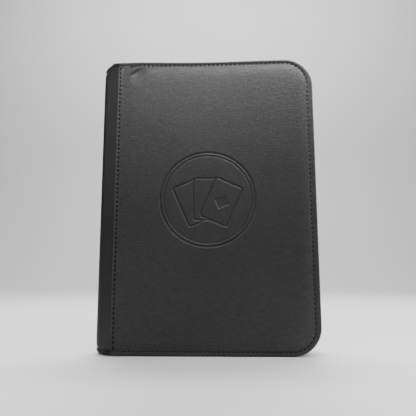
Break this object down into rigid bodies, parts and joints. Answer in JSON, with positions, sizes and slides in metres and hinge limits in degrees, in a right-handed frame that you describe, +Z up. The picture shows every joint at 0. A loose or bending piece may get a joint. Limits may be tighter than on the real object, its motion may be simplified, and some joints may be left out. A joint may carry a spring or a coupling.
{
  "type": "trading card binder",
  "caption": "Zip-around trading card binder with padded imitation-leather covers, a rounded spine and side-loading pocket pages.",
  "frame": {"origin": "middle of the bottom edge of the closed binder, where it stands", "axes": "+X from the spine to the fore-edge, +Y from the front cover to the back cover, +Z up"},
  "size_m": [0.262, 0.046, 0.355],
  "materials": {
    "cover_leather": "linen-embossed matt imitation leather",
    "spine_leather": "fine-grained matt imitation leather",
    "padding": "soft foam",
    "cover_board": "grey board",
    "lining_cloth": "plain woven lining",
    "thread": "waxed twisted thread",
    "zip_tape": "herringbone zip tape",
    "zip_coil": "moulded coil",
    "zip_metal": "satin gunmetal",
    "pull_grip": "matt moulded grip",
    "stiffener": "matt sheet",
    "binding_glue": "hot-melt glue",
    "page_margin_film": "welded film margins",
    "page_film": "black film with clear pockets"
  },
  "bodies": {
    "back_cover": {"back_skin": "cover_leather", "back_foam": "padding", "back_board": "cover_board", "back_lining": "lining_cloth", "back_hinge_leather": "spine_leather", "back_edge_stitching": "thread", "back_seam_stitching": "thread", "back_tape_runs": "zip_tape", "back_tape_corners": "zip_tape", "back_zip_coil": "zip_coil", "back_zip_stops": "zip_metal"},
    "spine": {"spine_leather": "spine_leather", "spine_stiffener": "stiffener", "binding_core": "binding_glue", "page_margins": "page_margin_film", "binding_stitching": "thread", "top_end_gusset": "zip_tape", "bottom_end_gusset": "zip_tape"},
    "front_cover": {"front_skin": "cover_leather", "front_foam": "padding", "front_board": "cover_board", "front_lining": "lining_cloth", "front_hinge_leather": "spine_leather", "front_edge_stitching": "thread", "front_seam_stitching": "thread", "front_tape_runs": "zip_tape", "front_tape_corners": "zip_tape", "front_zip_coil": "zip_coil", "front_zip_stops": "zip_metal"},
    "page_01": {"page_01": "page_film"},
    "page_02": {"page_02": "page_film"},
    "page_03": {"page_03": "page_film"},
    "page_04": {"page_04": "page_film"},
    "page_05": {"page_05": "page_film"},
    "page_06": {"page_06": "page_film"},
    "page_07": {"page_07": "page_film"},
    "page_08": {"page_08": "page_film"},
    "page_09": {"page_09": "page_film"},
    "page_10": {"page_10": "page_film"},
    "page_11": {"page_11": "page_film"},
    "page_12": {"page_12": "page_film"},
    "page_13": {"page_13": "page_film"},
    "page_14": {"page_14": "page_film"},
    "page_15": {"page_15": "page_film"},
    "page_16": {"page_16": "page_film"},
    "page_17": {"page_17": "page_film"},
    "page_18": {"page_18": "page_film"},
    "page_19": {"page_19": "page_film"},
    "page_20": {"page_20": "page_film"},
    "zip_slider": {"zip_slider": "zip_metal"},
    "zip_pull": {"pull_link": "zip_metal", "pull_grip": "pull_grip"}
  },
  "joints": [
    {"name": "spine_hinge", "type": "hinge", "parent": "back_cover", "child": "spine", "pos_m": [-0.12434, 0.01121, 0.1775], "axis": [0, 0, -1], "range_deg": [0, 90]},
    {"name": "cover_hinge", "type": "hinge", "parent": "spine", "child": "front_cover", "pos_m": [-0.12434, -0.01121, 0.1775], "axis": [0, 0, -1], "range_deg": [0, 90]},
    {"name": "page_01_turn", "type": "hinge", "parent": "spine", "child": "page_01", "pos_m": [-0.109, -0.01378, 0.1775], "axis": [0, 0, -1], "range_deg": [0, 62]},
    {"name": "page_02_turn", "type": "hinge", "parent": "spine", "child": "page_02", "pos_m": [-0.109, -0.01232, 0.1775], "axis": [0, 0, -1], "range_deg": [0, 55]},
    {"name": "page_03_turn", "type": "hinge", "parent": "spine", "child": "page_03", "pos_m": [-0.109, -0.01087, 0.1775], "axis": [0, 0, -1], "range_deg": [0, 49]},
    {"name": "page_04_turn", "type": "hinge", "parent": "spine", "child": "page_04", "pos_m": [-0.109, -0.00942, 0.1775], "axis": [0, 0, -1], "range_deg": [0, 43]},
    {"name": "page_05_turn", "type": "hinge", "parent": "spine", "child": "page_05", "pos_m": [-0.109, -0.00797, 0.1775], "axis": [0, 0, -1], "range_deg": [0, 36]},
    {"name": "page_06_turn", "type": "hinge", "parent": "spine", "child": "page_06", "pos_m": [-0.109, -0.00653, 0.1775], "axis": [0, 0, -1], "range_deg": [0, 30]},
    {"name": "page_07_turn", "type": "hinge", "parent": "spine", "child": "page_07", "pos_m": [-0.109, -0.00507, 0.1775], "axis": [0, 0, -1], "range_deg": [0, 24]},
    {"name": "page_08_turn", "type": "hinge", "parent": "spine", "child": "page_08", "pos_m": [-0.109, -0.00363, 0.1775], "axis": [0, 0, -1], "range_deg": [0, 17]},
    {"name": "page_09_turn", "type": "hinge", "parent": "spine", "child": "page_09", "pos_m": [-0.109, -0.00217, 0.1775], "axis": [0, 0, -1], "range_deg": [0, 11]},
    {"name": "page_10_turn", "type": "hinge", "parent": "spine", "child": "page_10", "pos_m": [-0.109, -0.00072, 0.1775], "axis": [0, 0, -1], "range_deg": [0, 5]},
    {"name": "page_11_turn", "type": "hinge", "parent": "spine", "child": "page_11", "pos_m": [-0.109, 0.00072, 0.1775], "axis": [0, 0, -1], "range_deg": [-5, 0]},
    {"name": "page_12_turn", "type": "hinge", "parent": "spine", "child": "page_12", "pos_m": [-0.109, 0.00217, 0.1775], "axis": [0, 0, -1], "range_deg": [-11, 0]},
    {"name": "page_13_turn", "type": "hinge", "parent": "spine", "child": "page_13", "pos_m": [-0.109, 0.00363, 0.1775], "axis": [0, 0, -1], "range_deg": [-17, 0]},
    {"name": "page_14_turn", "type": "hinge", "parent": "spine", "child": "page_14", "pos_m": [-0.109, 0.00507, 0.1775], "axis": [0, 0, -1], "range_deg": [-24, 0]},
    {"name": "page_15_turn", "type": "hinge", "parent": "spine", "child": "page_15", "pos_m": [-0.109, 0.00653, 0.1775], "axis": [0, 0, -1], "range_deg": [-30, 0]},
    {"name": "page_16_turn", "type": "hinge", "parent": "spine", "child": "page_16", "pos_m": [-0.109, 0.00797, 0.1775], "axis": [0, 0, -1], "range_deg": [-36, 0]},
    {"name": "page_17_turn", "type": "hinge", "parent": "spine", "child": "page_17", "pos_m": [-0.109, 0.00942, 0.1775], "axis": [0, 0, -1], "range_deg": [-43, 0]},
    {"name": "page_18_turn", "type": "hinge", "parent": "spine", "child": "page_18", "pos_m": [-0.109, 0.01087, 0.1775], "axis": [0, 0, -1], "range_deg": [-49, 0]},
    {"name": "page_19_turn", "type": "hinge", "parent": "spine", "child": "page_19", "pos_m": [-0.109, 0.01232, 0.1775], "axis": [0, 0, -1], "range_deg": [-55, 0]},
    {"name": "page_20_turn", "type": "hinge", "parent": "spine", "child": "page_20", "pos_m": [-0.109, 0.01378, 0.1775], "axis": [0, 0, -1], "range_deg": [-62, 0]},
    {"name": "zip_slide", "type": "slide", "parent": "back_cover", "child": "zip_slider", "axis": [1, 0, 0], "range_m": [0, 0.175]},
    {"name": "pull_swing", "type": "hinge", "parent": "zip_slider", "child": "zip_pull", "pos_m": [-0.0955, 0, 0.35305], "axis": [0, -1, 0], "range_deg": [0, 170]}
  ],
  "couplings": [
    {"joint": "cover_hinge", "follows": "spine_hinge", "ratio": 1},
    {"joint": "page_01_turn", "follows": "spine_hinge", "ratio": 0.6667},
    {"joint": "page_02_turn", "follows": "spine_hinge", "ratio": 0.5965},
    {"joint": "page_03_turn", "follows": "spine_hinge", "ratio": 0.5263},
    {"joint": "page_04_turn", "follows": "spine_hinge", "ratio": 0.4561},
    {"joint": "page_05_turn", "follows": "spine_hinge", "ratio": 0.386},
    {"joint": "page_06_turn", "follows": "spine_hinge", "ratio": 0.3158},
    {"joint": "page_07_turn", "follows": "spine_hinge", "ratio": 0.2456},
    {"joint": "page_08_turn", "follows": "spine_hinge", "ratio": 0.1754},
    {"joint": "page_09_turn", "follows": "spine_hinge", "ratio": 0.1053},
    {"joint": "page_10_turn", "follows": "spine_hinge", "ratio": 0.0351},
    {"joint": "page_11_turn", "follows": "spine_hinge", "ratio": -0.0351},
    {"joint": "page_12_turn", "follows": "spine_hinge", "ratio": -0.1053},
    {"joint": "page_13_turn", "follows": "spine_hinge", "ratio": -0.1754},
    {"joint": "page_14_turn", "follows": "spine_hinge", "ratio": -0.2456},
    {"joint": "page_15_turn", "follows": "spine_hinge", "ratio": -0.3158},
    {"joint": "page_16_turn", "follows": "spine_hinge", "ratio": -0.386},
    {"joint": "page_17_turn", "follows": "spine_hinge", "ratio": -0.4561},
    {"joint": "page_18_turn", "follows": "spine_hinge", "ratio": -0.5263},
    {"joint": "page_19_turn", "follows": "spine_hinge", "ratio": -0.5965},
    {"joint": "page_20_turn", "follows": "spine_hinge", "ratio": -0.6667}
  ]
}
